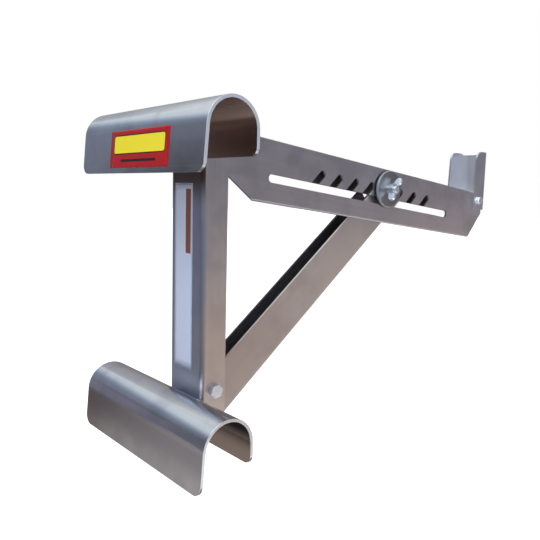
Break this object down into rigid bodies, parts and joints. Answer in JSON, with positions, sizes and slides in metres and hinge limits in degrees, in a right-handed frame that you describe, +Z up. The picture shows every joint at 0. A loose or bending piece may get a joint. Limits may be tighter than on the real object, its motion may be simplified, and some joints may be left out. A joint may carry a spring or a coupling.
{
  "type": "ladder jack",
  "caption": "Aluminium bracket that hooks on ladder rungs with rounded saddles and holds a plank on a strut-braced arm with a notched adjusting slot and wing-nut clamp.",
  "frame": {"origin": "centre of the upper rung seat, half way along the saddle", "axes": "+Z up along the post, +X outwards along the arm, +Y along the rungs"},
  "size_m": [0.6245, 0.25, 0.3761],
  "materials": {
    "mill_aluminium": "mill finish, lightly brushed",
    "zinc_steel": "bright zinc plate",
    "bush_steel": "plain steel tube",
    "wear_nylon": "matte"
  },
  "bodies": {
    "post": {"post_channel": "mill_aluminium", "upper_saddle": "mill_aluminium", "lower_saddle": "mill_aluminium", "saddle_rivets": "mill_aluminium", "arm_pivot_bolt": "zinc_steel", "arm_pivot_nut": "zinc_steel", "strut_pivot_bolt": "zinc_steel", "strut_pivot_nut": "zinc_steel", "pivot_washers": "zinc_steel", "pivot_spacers": "bush_steel", "strut_collar": "bush_steel"},
    "arm": {"arm_channel": "mill_aluminium", "arm_bushes": "bush_steel", "plank_stop": "mill_aluminium", "stop_bolt": "zinc_steel", "stop_nut": "zinc_steel"},
    "strut": {"strut_channel": "mill_aluminium", "strut_bushes": "bush_steel", "clamp_bolt": "zinc_steel", "wear_washer": "wear_nylon"},
    "clamp_disc": {"clamp_disc": "zinc_steel"},
    "wing_nut": {"wing_nut": "zinc_steel"}
  },
  "joints": [
    {"name": "arm_lift", "type": "hinge", "parent": "post", "child": "arm", "pos_m": [0.0476, 0, -0.0042], "axis": [0, -1, 0], "range_deg": [0, 5.9]},
    {"name": "strut_swing", "type": "hinge", "parent": "post", "child": "strut", "pos_m": [0.0476, 0, -0.2797], "axis": [0, -1, 0], "range_deg": [0, 2.82]},
    {"name": "disc_slide", "type": "slide", "parent": "strut", "child": "clamp_disc", "axis": [0, -1, 0], "range_m": [0, 0.003]},
    {"name": "wing_nut_turn", "type": "hinge", "parent": "clamp_disc", "child": "wing_nut", "pos_m": [0.33942, -0.0355, -0.04836], "axis": [0, -1, 0], "range_deg": [0, 681]}
  ],
  "couplings": [
    {"joint": "strut_swing", "follows": "arm_lift", "ratio": 0.4775},
    {"joint": "wing_nut_turn", "follows": "disc_slide", "rad_per_m": 3957.9}
  ]
}
